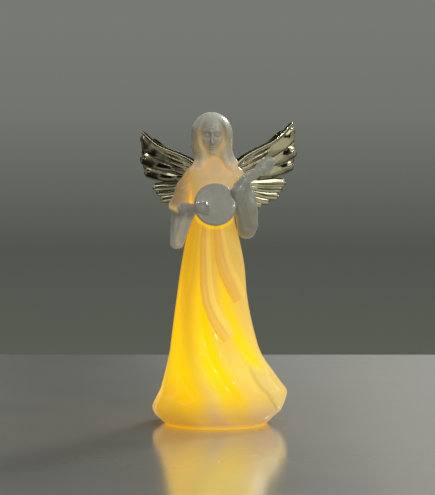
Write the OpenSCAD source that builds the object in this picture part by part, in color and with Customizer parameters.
// Lit porcelain angel with a lute: a hollow cast figure that stands over a battery light.
// Millimetres. +Z is up, the figure faces -Y, and the origin is on the table under its middle.
// The figure is cast in eight pieces that are joined with slip before firing. The light is a
// plastic module that pushes up into a collar in the figure's foot.

/* [Figure] */
// Overall height, from the table to the crown of the head
figure_h = 160; // [152:1:176]
// Thickness of the cast wall, not counting what a fold takes away
wall = 3.6; // [3.2:0.1:4.2]
// Depth of the skirt's folds
fold_depth = 1.5; // [0:0.1:1.8]
// How far the sash's tails stand out of the skirt
sash_relief = 1.2; // [0.8:0.1:1.6]
// Number of sides of the gown's rings
gown_sides = 56; // [40:4:64]

/* [Lute] */
// Radius of the lute's round body
lute_r = 10.8; // [9.5:0.1:11.5]
// Thickness of the lute's body, soundboard to back
lute_t = 6; // [5:0.1:7]

/* [Wings] */
// Angle that each wing is swept back from straight out
wing_sweep = 30; // [26:1:32]
// Thickness of the thickest feather
feather_t = 1.8; // [1.4:0.1:2.4]
// How much lower the right wing is rolled than the left one
wing_roll = 5; // [0:1:6]

/* [Light module] */
// Outer radius of the module's cup
cup_r = 18.4; // [18.2:0.1:18.6]
// Thickness of the cup's wall
cup_wall = 1.2; // [1:0.1:1.4]
// Height of the top of the cup above the table
cup_top = 14.6; // [14.2:0.1:16]
// Radius of a button cell
cell_r = 5.8; // [5.7:0.05:5.8]
// Height of a button cell
cell_h = 5.4; // [5.2:0.1:5.4]
// Radius of the light's lens
lens_r = 2.5; // [2.3:0.1:2.5]
// Distance that the switch's slider moves
switch_travel = 2; // [1.5:0.1:2]

/* [Hidden] */

$fn = 64;
grow = figure_h / 160;   // the cast pieces are drawn 160 tall and grown to figure_h
ball_sides = 16;

// --- the light module's levels and places ---
module_x = -1;
module_y = 0;
flange_z = 1;            // the module hangs this far above the table
flange_t = 1.2;
flange_r = 21;
floor_top = 3.4;
door_r = cell_r + 7;
door_t = 1.4;
door_gap = 0.1;
cell_z = 2.9;
cell_ring_r = 6.95;
cell_gap = 0.1;
tray_r = 13.6;
tray_top = cell_z + cell_h;
contact_t = 0.4;
board_z = tray_top + contact_t;
board_t = 1;
board_top = board_z + board_t;
cap_t = 1.4;
lens_z = 11.5;
lens_top = 20.2;
collar_z = flange_z + flange_t + 0.05;
collar_h = 6;
ring_r = 19.4;
ring_gap = 0.05;
collar_r = 21.2;
glue_gap = 0.2;
rim_place_r = 15.2;      // radius of the circle that the screws and the switch lie on
door_screw_angle = 90;
cap_screw_angles = [20, 200];
door_screw_shank = 0.85;
door_screw_head_r = 1.6;
door_screw_head_t = 0.75;
cap_screw_shank = 0.8;
cap_screw_head_r = 1.5;
cap_screw_head_t = 0.9;
cap_screw_bite = 4;      // how deep a cap screw goes into its post
post_r = 1.9;
ear_r = 2.4;             // the door's ear, around its screw
running_gap = 0.1;
slot_w = 0.3;
slot_l = 2;
cut = 1;                 // how far a cutting shape runs past the face it cuts
grip_h = 3;
knob_w = 1.8;
knob_d = 2;
switch_y = -15.4;        // from the module's axis
switch_w = 7;
switch_d = 2.8;
switch_h = 4.2;
slider_rest = -switch_travel / 2;
slider_gap = 0.2;
led_rim = 0.4;
leg_places = [-1.27, 1.27];
leg_r = 0.3;
wire_r = 0.4;
wire_places = [-2, 2];
pad_r = 3;               // the part of a contact that touches a cell

// --- the gown: [height, left edge, right edge, front edge, back edge] at each station ---
gown_stations = [
    [0, -26.5, 24.5, -25, 24.5],
    [3, -30.5, 28.5, -27.2, 26.5],
    [8, -34, 32, -28.5, 27.5],
    [16, -31, 35, -27.6, 26.8],
    [25, -29, 29.6, -25.2, 24.5],
    [34, -27.4, 23.3, -22.8, 22],
    [46, -25.8, 18, -20.2, 19.2],
    [64, -23.6, 14.7, -16.6, 15],
    [83, -20, 12.9, -12.8, 11.2],
    [96, -16.6, 10.2, -10.2, 8.8],
    [104, -13.6, 8.2, -8.6, 7.4],
    [114, -14, 8.8, -8.8, 7.2],
    [123, -15, 10.2, -9.4, 7.4],
    [129, -15, 10.4, -8, 7.2],
    [134, -11, 6.4, -5.8, 6],
    [138, -6.6, 2.4, -4, 4.6],
    [142, -5.8, 1.6, -3.8, 4.2]
];
neck_top = 142;
squareness = 2.2;        // exponent of the section; 2 is an ellipse
neck_bore = 1.6;
// A fold is a valley: [angle at the hem, angle at the waist, half width in degrees].
folds = [[217, 238, 9], [252, 258, 8], [291, 278, 9], [331, 302, 9],
    [22, 40, 9], [62, 70, 10], [100, 96, 8], [140, 122, 10]];
fold_top = 106;
// A sash tail: [height, angle, half width] from the waist down to its tip.
upper_tail = [[99, 262, 3.2], [90, 272, 3.4], [80, 284, 3.2], [72, 295, 2.6], [64, 302, 1]];
lower_tail = [[97, 250, 2.6], [83, 252, 2.8], [70, 257, 3.4], [58, 268, 3.4],
    [50, 277, 3], [44, 279, 1]];

// --- the head, arms, lute and wings, as [x, y, z] and a radius ---
head_c = [-3.2, -1.6, 148.4];
head_r = [7.05, 7.54, 9.35];
hair = [[[-3.2, 1.4, 149.6], 10.6], [[-3.2, 2, 142.6], 10], [[-3.2, 2.8, 136.2], 9.2],
    [[-3.2, 4.2, 129.6], 6.6]];
face_opening_r = 7.2;    // of the hollow that the hair leaves in front of the face
face_opening_y = -10.4;  // from head_c
lute_c = [-1.6, -13.4, 112];
lute_lean = 6;
right_arm_path = [[[-12.4, 0.4, 127.4], 4.8], [[-17, 0, 119], 5.2], [[-20, -3, 110], 4.8],
    [[-15, -10, 109], 3.4], [[-9.6, -17.6, 111.4], 2.3], [[-6.4, -18.6, 112.2], 1.6]];
right_sleeve = [[[-20.4, -3, 107], 4.2], [[-14.6, -10, 107], 3.2],
    [[-21.8, -5, 92.4], 3], [[-19.6, -9.6, 91.6], 2.6]];
left_arm_path = [[[9.2, 0.4, 127], 4.8], [[13.6, 0, 119], 5.2], [[16.6, -3, 111], 4.8],
    [[14.4, -9, 115], 3.2], [[11.6, -14.6, 120.4], 2.4], [[9.4, -16.2, 122], 1.5]];
left_sleeve = [[[16, -3, 109], 4.4], [[13, -8.4, 113], 3.4],
    [[16, -4.6, 99.2], 3.8], [[14.6, -8.4, 98.6], 3]];
neck_path = [[[6, -14.6, 118.4], 2], [[10, -13.8, 121.4], 1.7], [[14, -12.8, 124.4], 1.6],
    [[18, -11.8, 127.4], 1.6], [[20.6, -11, 129.4], 1.8]];
peg_head = [[20.6, -11, 129.4], [27.4, -9, 134]];
peg_head_w = 3;
peg_head_t = 1.7;

wing_root = [8, 8.2, 124];       // from wing_mid, for the left wing
wing_mid = -0.5;
right_reach = 0.94;      // how long the right wing is, as a part of the left one
// Feather tips, along and up the wing from its root, then the feather's half width.
long_feathers = [[36, 27.5, 3], [37.4, 20.5, 4.2], [36.8, 13, 4.6], [34.8, 5.4, 4.4]];
short_feathers = [[29.8, -2.4, 4], [25.2, -8.4, 3.8], [18.4, -12.8, 3.4]];
// The leading edge, a thick ridge from the shoulder to the wing tip, with its half width.
lead_edge = [[0, 6, 3], [9, 10.6, 3], [18, 14.6, 2.6], [26.6, 20.6, 2.2], [35, 28, 1.5]];

// ---------------------------------------------------------------------------
// Shared functions and shapes
// ---------------------------------------------------------------------------

function clamped(t) = min(1, max(0, t));

function smooth(t) = let (c = clamped(t)) c * c * (3 - 2 * c);

// The last station at or below a height.
function station_below(z) =
    max([for (i = [0:len(gown_stations) - 2]) if (gown_stations[i][0] <= z) i]);

// The slope of one column of the stations, for a smooth curve through them.
function station_slope(i, column) =
    let (low = gown_stations[max(i - 1, 0)],
        high = gown_stations[min(i + 1, len(gown_stations) - 1)])
    (high[column] - low[column]) / (high[0] - low[0]);

// A column's value at any height, on a smooth curve through the stations.
function gown_at(z, column) =
    let (i = station_below(z), p = gown_stations[i], q = gown_stations[i + 1],
        step = q[0] - p[0], t = (z - p[0]) / step,
        bend_p = station_slope(i, column) * step,
        bend_q = station_slope(i + 1, column) * step)
    p[column] * (2 * t * t * t - 3 * t * t + 1) + bend_p * (t * t * t - 2 * t * t + t)
    + q[column] * (3 * t * t - 2 * t * t * t) + bend_q * (t * t * t - t * t);

// How deep the folds cut at an angle and height.
function fold_cut(angle, z) =
    let (up = clamped(z / fold_top), strength = smooth(z / 7) * (1 - 0.75 * smooth(up)))
    fold_depth * strength * max([for (f = folds)
        let (middle = f[0] + (f[1] - f[0]) * up,
            away = ((angle - middle + 540) % 360 - 180) / f[2])
        exp(-away * away)]);

// A point of the gown at an angle and height, some way in from the unfolded surface.
function gown_point(angle, z, inset, smallest) =
    let (a = max((gown_at(z, 2) - gown_at(z, 1)) / 2 - inset, smallest),
        b = max((gown_at(z, 4) - gown_at(z, 3)) / 2 - inset, smallest),
        r = pow(pow(abs(cos(angle)) / a, squareness)
            + pow(abs(sin(angle)) / b, squareness), -1 / squareness))
    [(gown_at(z, 2) + gown_at(z, 1)) / 2 + r * cos(angle),
        (gown_at(z, 4) + gown_at(z, 3)) / 2 + r * sin(angle), z];

function skin_point(angle, z) =
    gown_point(angle, z, fold_cut(angle, z), 1);

gown_angles = [for (k = [0:gown_sides - 1]) k * 360 / gown_sides];
outer_heights = concat([for (z = [0:2:20]) z], [for (z = [24:5:124]) z],
    [127, 130, 132, 134, 136, 138, 140, neck_top]);
inner_heights = concat([14, 20], [for (z = [28:10:118]) z], [126, 132, 136, neck_top]);
foot_hole_r = (collar_r + glue_gap) / grow;
foot_hole_top = 10;

function outer_ring(z) = [for (a = gown_angles) skin_point(a, z)];

function inner_ring(z) = [for (a = gown_angles) gown_point(a, z, wall, neck_bore)];

function foot_ring(z) = [for (a = gown_angles)
    [module_x / grow + foot_hole_r * cos(a), module_y / grow + foot_hole_r * sin(a), z]];

// Triangles between ring j and the next ring, where the last ring joins the first if told to.
function band_faces(ring_count, n, joined) =
    [for (j = [0:ring_count - (joined ? 1 : 2)], k = [0:n - 1])
        let (a = j * n + k, b = j * n + (k + 1) % n,
            c = ((j + 1) % ring_count) * n + (k + 1) % n, d = ((j + 1) % ring_count) * n + k)
        each [[a, c, b], [a, d, c]]];

// The gown's hollow shell: rings go up its outside and come down its inside.
module gown_tube() {
    rings = concat([for (z = outer_heights) outer_ring(z)],
        [for (i = [len(inner_heights) - 1:-1:0]) inner_ring(inner_heights[i])],
        [foot_ring(foot_hole_top), foot_ring(foot_hole_top / 2), foot_ring(0)]);
    polyhedron([for (r = rings) each r], band_faces(len(rings), gown_sides, true));
}

// The gown without its hollow, which the joined pieces are cut against.
module gown_block() {
    n = gown_sides;
    last = (len(outer_heights) - 1) * n;
    polyhedron([for (z = outer_heights) each outer_ring(z)],
        concat(band_faces(len(outer_heights), n, false),
            [[for (k = [0:n - 1]) k]], [[for (k = [n - 1:-1:0]) last + k]]));
}

module ball(place, r) {
    translate(place) sphere(r, $fn = ball_sides);
}

// A rounded limb through [place, radius] rows.
module limb(path) {
    for (i = [0:len(path) - 2]) hull() {
        ball(path[i][0], path[i][1]);
        ball(path[i + 1][0], path[i + 1][1]);
    }
}

// One rounded form around all the rows at once.
module pouch(path) {
    hull() for (p = path) ball(p[0], p[1]);
}

// A band that follows the gown's surface, from [height, angle, half width] rows.
module sash_tail(rows) {
    for (i = [0:len(rows) - 2]) hull() for (row = [rows[i], rows[i + 1]])
        translate(skin_point(row[1], row[0])) rotate([0, 0, row[1]])
            scale([sash_relief, row[2], row[2]]) sphere(1, $fn = ball_sides);
}

// A piece placed on a circle around the module's axis.
module on_module(angle, r, z) {
    translate([module_x, module_y, z]) rotate([0, 0, angle]) translate([r, 0, 0]) children();
}

// ---------------------------------------------------------------------------
// The cast figure
// ---------------------------------------------------------------------------

module gown_shell() {
    color([0.98, 0.78, 0.3]) scale(grow) union() {
        gown_tube();
        sash_tail(upper_tail);
        sash_tail(lower_tail);
    }
}

// The head with its long hair, which falls behind the shoulders.
module head_mass() {
    translate(head_c) scale(head_r) sphere(1, $fn = 28);
    difference() {
        limb(hair);
        for (i = [0:5]) hull() for (dz = [0, 3])
            translate(head_c + [0, face_opening_y, 5 - 4.4 * i - dz])
                scale([0.9, 1, 0.9]) sphere(face_opening_r - 0.3 * i, $fn = ball_sides);
    }
}

module head() {
    color([0.8, 0.8, 0.78]) scale(grow) difference() {
        head_mass();
        gown_block();
        hull() {
            ball(head_c + [0, 2, 1], 4.4);
            ball([-2.1, 0.2, neck_top - 1], neck_bore);
        }
    }
}

module right_arm() {
    color([0.9, 0.78, 0.6]) scale(grow) difference() {
        union() {
            limb(right_arm_path);
            pouch(right_sleeve);
        }
        gown_block();
        head_mass();
        lute_bowl();
    }
}

module left_arm() {
    color([0.82, 0.82, 0.8]) scale(grow) difference() {
        union() {
            limb(left_arm_path);
            pouch(left_sleeve);
        }
        gown_block();
        head_mass();
        lute_bowl();
        lute_handle();
    }
}

// The lute's round body: a flat soundboard in front and a bowl behind it, as stacked discs.
module lute_bowl() {
    slices = 8;
    translate(lute_c) rotate([90 - lute_lean, 0, 0]) for (i = [0:slices - 1]) hull()
        for (t = [i / slices, (i + 1) / slices])
            translate([0, 0, lute_t * (t - 0.5)])
                cylinder(h = 0.2, r = lute_r * pow(sin(30 + 60 * t), 0.5), $fn = 40);
}

module lute_body() {
    color([0.8, 0.8, 0.79]) scale(grow) difference() {
        lute_bowl();
        gown_block();
    }
}

// The lute's neck and its paddle-shaped peg head.
module lute_handle() {
    limb(neck_path);
    steps = 4;
    for (i = [0:steps - 1]) hull() for (t = [i / steps, (i + 1) / steps])
        translate(peg_head[0] + (peg_head[1] - peg_head[0]) * t) rotate([0, -34, 0])
            scale([1, peg_head_t / peg_head_w, 1])
            sphere(peg_head_w * (0.8 + 0.2 * sin(180 * t)), $fn = ball_sides);
}

module lute_neck() {
    color([0.8, 0.8, 0.79]) scale(grow) difference() {
        lute_handle();
        lute_bowl();
        gown_block();
    }
}

// A flat rounded feather that runs from a foot to a tip, twisted a little about its own length.
module feather(foot, tip, half_w, lift, twist) {
    run = [tip[0] - foot[0], tip[1] - foot[1]];
    translate([foot[0], foot[1], lift]) rotate([0, 0, atan2(run[1], run[0])])
        rotate([twist, 0, 0]) hull() {
            scale([1, 1, feather_t / 3]) sphere(1.7, $fn = 12);
            for (t = [0.55, 0.88]) translate([norm(run) * t, 0, 0])
                scale([1, 1, feather_t / 2 / half_w]) sphere(half_w, $fn = 14);
            translate([norm(run) - 0.6, 0, 0]) sphere(0.7, $fn = 10);
        }
}

// A wing lying in the XY plane with its root at the origin, front side down.
module flat_wing() {
    for (i = [0:len(long_feathers) - 1]) let (f = long_feathers[i])
        feather([2.5 - 0.37 * i, 0.6 - 0.83 * i], f, f[2], 0.23 * i, 4 + 1.3 * i);
    for (i = [0:len(short_feathers) - 1]) let (f = short_feathers[i])
        feather([1.9 - 0.31 * i, -1.7 - 0.61 * i], f, f[2], 1.27 + 0.21 * i, 5 + 1.7 * i);
    for (i = [0:len(lead_edge) - 2]) hull() for (k = [0, 1])
        let (row = lead_edge[i + k], r = row[2] * (1 + 0.05 * k))
            translate([row[0], row[1], 0.07 * i]) rotate([0, 0, 11 * i])
                scale([1, 1, 1.3 / r]) sphere(r, $fn = 12);
    hull() {
        translate([2, 6, 0.11]) rotate([0, 0, 7]) scale([1, 1, 0.5]) sphere(4, $fn = 16);
        translate([1, -4, 0.13]) rotate([0, 0, 3]) scale([1, 1, 0.5]) sphere(4, $fn = 16);
        translate([16, 4, 0.17]) rotate([0, 0, 5]) scale([1, 1, 0.3]) sphere(6, $fn = 16);
    }
}

// A wing on the figure's back: side is 1 for the left wing and -1 for the right one.
module placed_wing(side, roll, reach) {
    color([0.83, 0.78, 0.66]) scale(grow) difference() {
        translate([wing_mid, 0, 0]) scale([side, 1, 1]) translate(wing_root)
            rotate([0, 0, wing_sweep]) rotate([0, roll, 0]) rotate([90, 0, 0])
            scale(reach) flat_wing();
        gown_block();
        head_mass();
    }
}

module left_wing() {
    placed_wing(1, 0, 1);
}

module right_wing() {
    placed_wing(-1, wing_roll, right_reach);
}

// ---------------------------------------------------------------------------
// The light in the foot
// ---------------------------------------------------------------------------

// A collar glued into the foot, which the module pushes up into.
module base_collar() {
    color([0.9, 0.9, 0.88]) translate([module_x, module_y, collar_z]) difference() {
        cylinder(h = collar_h, r = collar_r);
        translate([0, 0, -cut]) cylinder(h = collar_h + 2 * cut, r = ring_r + ring_gap);
    }
}

module cell_places() {
    for (i = [0:2]) on_module(90 + 120 * i, cell_ring_r, 0) children();
}

// The door's outline, 1 high: a disc with an ear for the screw.
module door_outline(extra) {
    translate([module_x, module_y, 0]) cylinder(h = 1, r = door_r + extra);
    on_module(door_screw_angle, rim_place_r, 0) cylinder(h = 1, r = ear_r + extra);
    on_module(door_screw_angle, rim_place_r / 2, 0)
        translate([0, -ear_r - extra, 0]) cube([rim_place_r / 2, 2 * (ear_r + extra), 1]);
}

// A post for a screw, that stands on the housing's floor.
module post(angle, top) {
    on_module(angle, rim_place_r, floor_top - cut) cylinder(h = top - floor_top + cut, r = post_r);
}

// A cross slot, cut down from its own level.
module cross_slot(depth) {
    for (a = [0, 90]) rotate([0, 0, a]) translate([-slot_w / 2, -slot_l / 2, -depth])
        cube([slot_w, slot_l, 2 * depth]);
}

module module_housing() {
    inner_r = cup_r - cup_wall;
    color([0.93, 0.93, 0.91]) difference() {
        union() {
            translate([module_x, module_y, flange_z]) {
                cylinder(h = flange_t, r = flange_r);
                cylinder(h = floor_top - flange_z, r = cup_r);
                difference() {
                    cylinder(h = cup_top - flange_z, r = cup_r);
                    cylinder(h = cup_top, r = inner_r);
                }
            }
            translate([module_x, module_y, floor_top - cut])
                cylinder(h = tray_top - floor_top + cut, r = tray_r);
            post(door_screw_angle, tray_top);
            for (a = cap_screw_angles) post(a, cup_top);
        }
        translate([0, 0, flange_z - 0.1]) scale([1, 1, cell_z - flange_z + 0.1])
            door_outline(door_gap);
        cell_places() cylinder(h = tray_top + cut, r = cell_r + cell_gap);
        on_module(door_screw_angle, rim_place_r, 0)
            cylinder(h = tray_top - 0.8, r = door_screw_shank + running_gap / 2);
        for (a = cap_screw_angles) on_module(a, rim_place_r, cup_top - cap_screw_bite - cut)
            cylinder(h = cap_screw_bite + 2 * cut, r = cap_screw_shank);
        translate([module_x + slider_rest - knob_w / 2 - slider_gap,
            module_y + switch_y - knob_d / 2 - slider_gap, 0])
            cube([knob_w + switch_travel + 2 * slider_gap, knob_d + 2 * slider_gap,
                floor_top + cut]);
    }
}

// A soft ring around the cup, which grips the collar.
module grip_ring() {
    color([0.75, 0.75, 0.76]) translate([module_x, module_y, collar_z + 1]) difference() {
        cylinder(h = grip_h, r = ring_r);
        translate([0, 0, -cut]) cylinder(h = grip_h + 2 * cut, r = cup_r);
    }
}

module module_cap() {
    color([0.96, 0.96, 0.94]) difference() {
        translate([module_x, module_y, cup_top]) cylinder(h = cap_t, r = cup_r);
        translate([module_x, module_y, cup_top - cut])
            cylinder(h = cap_t + 2 * cut, r = lens_r + running_gap);
        for (a = cap_screw_angles) on_module(a, rim_place_r, cup_top - cut)
            cylinder(h = cap_t + 2 * cut, r = cap_screw_shank + running_gap);
    }
}

module cap_screws() {
    color([0.7, 0.7, 0.72]) for (a = cap_screw_angles) on_module(a, rim_place_r, 0) difference() {
        union() {
            translate([0, 0, cup_top - cap_screw_bite])
                cylinder(h = cap_t + cap_screw_bite, r = cap_screw_shank);
            translate([0, 0, cup_top + cap_t]) cylinder(h = cap_screw_head_t, r = cap_screw_head_r);
        }
        translate([0, 0, cup_top + cap_t + cap_screw_head_t]) cross_slot(0.4);
    }
}

module circuit_board() {
    color([0.1, 0.4, 0.2]) translate([module_x, module_y, board_z]) difference() {
        cylinder(h = board_t, r = tray_r - 0.4);
        for (x = leg_places) translate([x, 0, -cut])
            cylinder(h = board_t + 2 * cut, r = leg_r + running_gap / 2);
    }
}

// A resistor, a driver chip and a small capacitor.
module board_components() {
    color([0.15, 0.15, 0.15]) translate([module_x, module_y, board_top]) {
        translate([5, -2, 0]) cube([3, 4, 1.2]);
        translate([-8.4, 1, 0]) cube([2, 3.2, 0.7]);
        translate([-6, -6, 0]) cylinder(h = 2.4, r = 1.6);
    }
}

module led_lens() {
    color([1, 0.85, 0.45]) translate([module_x, module_y, 0]) {
        translate([0, 0, lens_z]) cylinder(h = 1, r = lens_r + led_rim);
        translate([0, 0, lens_z]) cylinder(h = lens_top - lens_r - lens_z, r = lens_r);
        translate([0, 0, lens_top - lens_r]) sphere(lens_r);
    }
}

module led_legs() {
    color([0.75, 0.75, 0.78]) for (x = leg_places)
        translate([module_x + x, module_y, board_z - 0.2])
            cylinder(h = lens_z - board_z + 0.2, r = leg_r);
}

module switch_body() {
    color([0.55, 0.56, 0.58]) translate([module_x, module_y + switch_y, floor_top]) difference() {
        translate([-switch_w / 2, -switch_d / 2, 0]) cube([switch_w, switch_d, switch_h]);
        translate([-switch_w / 2 + 0.5, -1.2, -1]) cube([switch_w - 1, 2.4, 2.8]);
    }
}

module switch_slider() {
    color([0.12, 0.12, 0.13]) translate([module_x + slider_rest, module_y + switch_y, 0]) {
        translate([-knob_w / 2, -knob_d / 2, 0.5]) cube([knob_w, knob_d, 4]);
        for (x = [-0.5, 0, 0.5]) translate([x - 0.1, -knob_d / 2, 0.35])
            cube([0.2, knob_d, 0.3]);
        translate([-1.7, -1, floor_top + 0.2]) cube([3.4, 2, 1.2]);
    }
}

// Two short leads that climb from the switch and cross to the board.
module lead_wires() {
    low = floor_top + switch_h;
    high = board_top + wire_r;
    color([0.75, 0.1, 0.1]) for (x = wire_places)
        translate([module_x + x, module_y + switch_y, 0]) {
            translate([0, 0, low]) cylinder(h = high - low, r = wire_r);
            translate([0, 0, high]) sphere(wire_r);
            translate([0, 0, high]) rotate([-90, 0, 0]) cylinder(h = 4, r = wire_r);
        }
}

module button_cells() {
    color([0.8, 0.8, 0.82]) cell_places() translate([0, 0, cell_z]) {
        cylinder(h = cell_h - 0.3, r = cell_r);
        cylinder(h = cell_h, r = cell_r - 0.8);
    }
}

module top_contacts() {
    color([0.8, 0.75, 0.6]) {
        cell_places() translate([0, 0, tray_top]) cylinder(h = contact_t, r = pad_r);
        on_module(30, 0, tray_top) translate([-4, -6.5, 0]) cube([2.4, 13, contact_t]);
    }
}

// The ring of sheet metal that joins the cells' lower faces and rides on the door.
module door_contact() {
    color([0.8, 0.75, 0.6]) translate([module_x, module_y, flange_z + door_t]) difference() {
        cylinder(h = contact_t, r = cell_ring_r + pad_r);
        translate([0, 0, -cut]) cylinder(h = contact_t + 2 * cut, r = cell_ring_r - pad_r);
    }
}

module battery_door() {
    color([0.92, 0.92, 0.9]) difference() {
        translate([0, 0, flange_z]) scale([1, 1, door_t]) door_outline(0);
        on_module(door_screw_angle, rim_place_r, 0) {
            cylinder(h = 4, r = door_screw_shank + running_gap);
            cylinder(h = flange_z + 0.8, r = door_screw_head_r + running_gap);
        }
        for (x = [-1.6, 0, 1.6]) translate([module_x + x - 0.3, module_y - 11, 0])
            cube([0.6, 5, flange_z + 0.4]);
    }
}

module door_screw() {
    color([0.7, 0.7, 0.72]) on_module(door_screw_angle, rim_place_r, 0) difference() {
        union() {
            translate([0, 0, flange_z]) cylinder(h = door_screw_head_t, r = door_screw_head_r);
            translate([0, 0, flange_z]) cylinder(h = tray_top - flange_z - 2, r = door_screw_shank);
        }
        translate([0, 0, flange_z]) cross_slot(0.4);
    }
}

gown_shell();
head();
right_arm();
left_arm();
lute_body();
lute_neck();
left_wing();
right_wing();
base_collar();
module_housing();
grip_ring();
module_cap();
cap_screws();
circuit_board();
board_components();
led_lens();
led_legs();
switch_body();
switch_slider();
lead_wires();
button_cells();
top_contacts();
door_contact();
battery_door();
door_screw();
